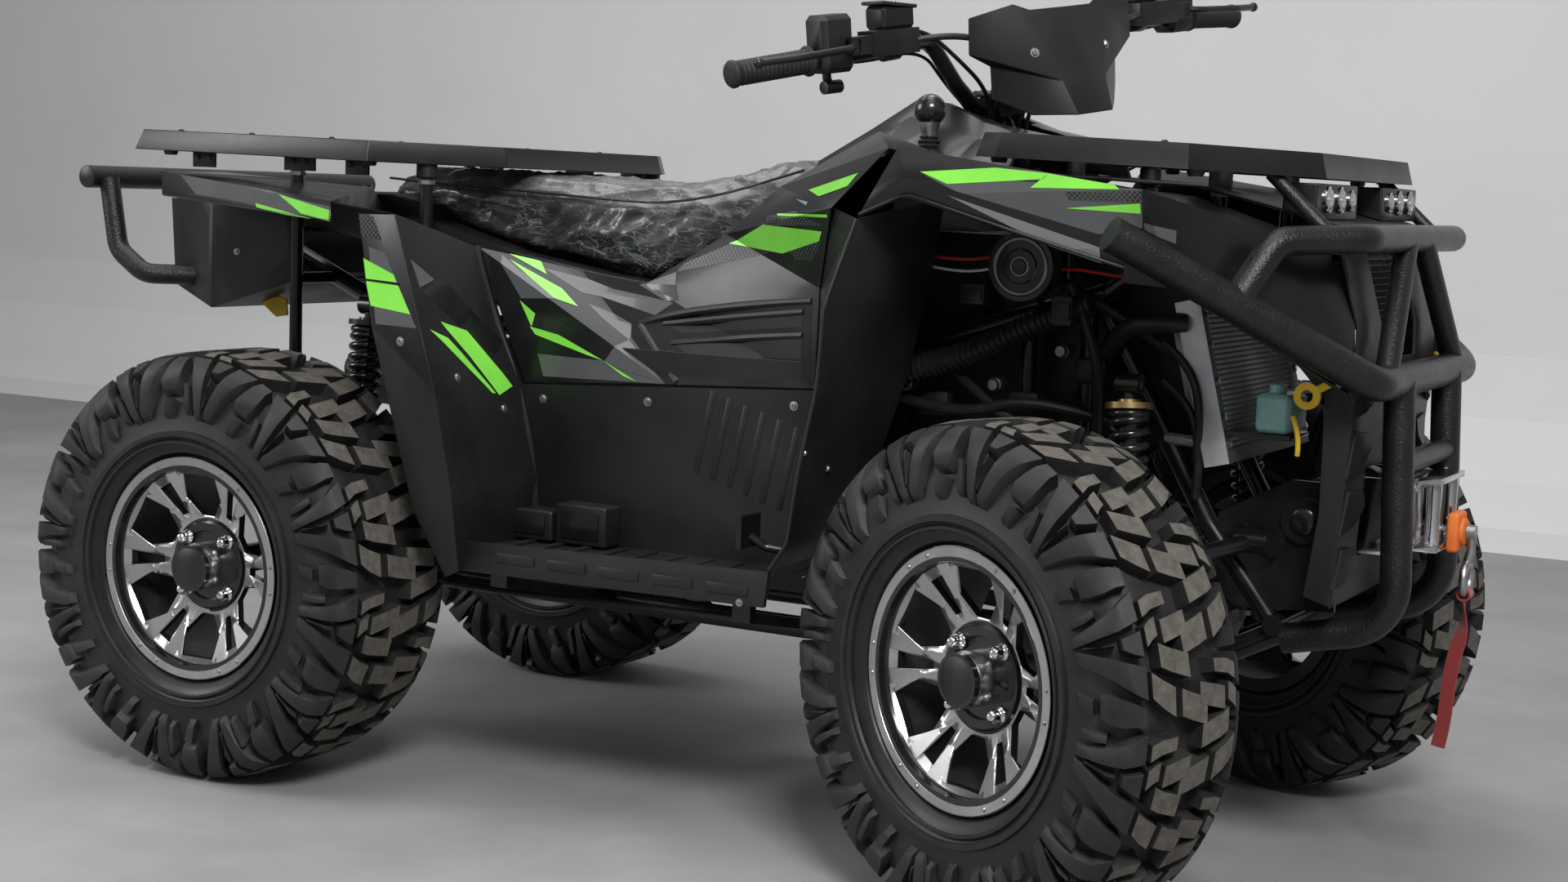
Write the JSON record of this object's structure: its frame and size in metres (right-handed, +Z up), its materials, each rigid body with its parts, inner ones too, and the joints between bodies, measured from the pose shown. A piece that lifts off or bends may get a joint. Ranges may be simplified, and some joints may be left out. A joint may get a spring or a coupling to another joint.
{
  "type": "quad bike",
  "caption": "Utility quad bike with steering front wheels, sheet-metal racks, tube bumpers, footwells and a front winch.",
  "frame": {"origin": "on the ground, under the middle of the machine's length and width", "axes": "+X forward, +Y to the rider's left, +Z up; the front wheels and handlebar rest turned to the right"},
  "size_m": [2.1579, 1.3384, 1.2366],
  "materials": {
    "tyre_rubber": "matte moulded rubber",
    "rim_machined": "machined face with black pockets",
    "frame_black": "satin black paint",
    "axle_steel": "plain turned steel",
    "spring_black": "gloss black paint",
    "damper_steel": "satin steel with brass fitting",
    "engine_alloy": "cast",
    "exhaust_black": "heat-proof matte black",
    "case_alloy": "cast",
    "radiator_silver": "bare",
    "panel_black": "grained black plastic with stripes",
    "panel_grey": "smooth dark grey plastic",
    "seat_vinyl": "black vinyl under clear film",
    "rack_black": "textured black powder coat",
    "bumper_black": "wrinkle black powder coat",
    "winch_black": "satin black",
    "fairlead_steel": "bright plated",
    "bar_black": "gloss black paint",
    "grip_rubber": "ribbed soft rubber",
    "control_plastic": "black plastic",
    "lens_clear": "clear lens over chromed bowls",
    "lens_red": "red lens",
    "stopper_orange": "orange rubber",
    "strap_red": "woven webbing",
    "eye_yellow": "yellow plated",
    "bottle_aqua": "translucent bottle",
    "wire_rope": "stranded wire"
  },
  "bodies": {
    "chassis": {"frame": "frame_black", "floor_rails": "frame_black", "frame_top": "frame_black", "frame_uprights": "frame_black", "front_arms": "frame_black", "rear_arms": "frame_black", "shocks": "damper_steel", "springs": "spring_black", "engine": "engine_alloy", "exhaust": "exhaust_black", "gear_cases": "case_alloy", "drive_shafts": "axle_steel", "radiator": "radiator_silver", "front_fenders": "panel_black", "leg_shields": "panel_black", "footwells": "panel_black", "rear_guards": "panel_black", "rear_fenders": "panel_black", "side_panels": "panel_black", "console": "panel_black", "nose": "panel_grey", "tail": "panel_black", "headlights": "lens_clear", "tail_lamps": "lens_red", "intake_duct": "control_plastic", "horn": "control_plastic", "coolant_bottle": "bottle_aqua", "tie_down_eyes": "eye_yellow", "brake_pedal": "frame_black", "shift_lever": "control_plastic", "winch_rope": "wire_rope", "hook_stopper": "stopper_orange", "winch_hook": "winch_black", "hook_strap": "strap_red", "seat": "seat_vinyl", "front_rack": "rack_black", "rear_rack": "rack_black", "front_bumper": "bumper_black", "rear_bumper": "bumper_black", "winch": "winch_black", "fairlead": "fairlead_steel"},
    "steering": {"handlebar": "bar_black", "grips": "grip_rubber", "switch_boxes": "control_plastic", "brake_perches": "control_plastic", "brake_levers": "bar_black", "pod": "panel_grey", "steering_column": "axle_steel"},
    "knuckle_right": {"knuckle_right": "axle_steel"},
    "wheel_front_right": {"rim_front_right": "rim_machined", "tyre_front_right": "tyre_rubber"},
    "wheel_rear_right": {"rim_rear_right": "rim_machined", "tyre_rear_right": "tyre_rubber"},
    "tie_rod_right": {"tie_rod_right": "axle_steel"},
    "knuckle_left": {"knuckle_left": "axle_steel"},
    "wheel_front_left": {"rim_front_left": "rim_machined", "tyre_front_left": "tyre_rubber"},
    "wheel_rear_left": {"rim_rear_left": "rim_machined", "tyre_rear_left": "tyre_rubber"},
    "tie_rod_left": {"tie_rod_left": "axle_steel"}
  },
  "joints": [
    {"name": "steer", "type": "hinge", "parent": "chassis", "child": "steering", "pos_m": [0.37, 0, 1.03], "axis": [-0.454, 0, 0.891], "range_deg": [-8.5, 55.5]},
    {"name": "knuckle_right_turn", "type": "hinge", "parent": "chassis", "child": "knuckle_right", "pos_m": [0.66, -0.3745, 0.317], "axis": [0, 0, 1], "range_deg": [-8.5, 55.5]},
    {"name": "wheel_front_right_spin", "type": "hinge", "parent": "knuckle_right", "child": "wheel_front_right", "pos_m": [0.62013, -0.46621, 0.317], "axis": [0.3987, 0.9171, 0], "continuous": true},
    {"name": "wheel_rear_right_spin", "type": "hinge", "parent": "chassis", "child": "wheel_rear_right", "pos_m": [-0.64, -0.4535, 0.317], "axis": [0, 1, 0], "continuous": true},
    {"name": "tie_rod_right_swing", "type": "hinge", "parent": "steering", "child": "tie_rod_right", "pos_m": [0.62567, 0.02392, 0.40702], "axis": [-0.454, 0, 0.891], "range_deg": [-55.5, 8.5]},
    {"name": "knuckle_left_turn", "type": "hinge", "parent": "chassis", "child": "knuckle_left", "pos_m": [0.66, 0.3745, 0.317], "axis": [0, 0, 1], "range_deg": [-8.5, 55.5]},
    {"name": "wheel_front_left_spin", "type": "hinge", "parent": "knuckle_left", "child": "wheel_front_left", "pos_m": [0.69988, 0.46621, 0.317], "axis": [0.3987, 0.9171, 0], "continuous": true},
    {"name": "wheel_rear_left_spin", "type": "hinge", "parent": "chassis", "child": "wheel_rear_left", "pos_m": [-0.64, 0.4535, 0.317], "axis": [0, 1, 0], "continuous": true},
    {"name": "tie_rod_left_swing", "type": "hinge", "parent": "steering", "child": "tie_rod_left", "pos_m": [0.62567, 0.02392, 0.40702], "axis": [-0.454, 0, 0.891], "range_deg": [-55.5, 8.5]}
  ],
  "couplings": [
    {"joint": "knuckle_right_turn", "follows": "steer", "ratio": 1},
    {"joint": "knuckle_left_turn", "follows": "steer", "ratio": 1},
    {"joint": "tie_rod_right_swing", "follows": "steer", "ratio": -1},
    {"joint": "tie_rod_left_swing", "follows": "steer", "ratio": -1}
  ]
}
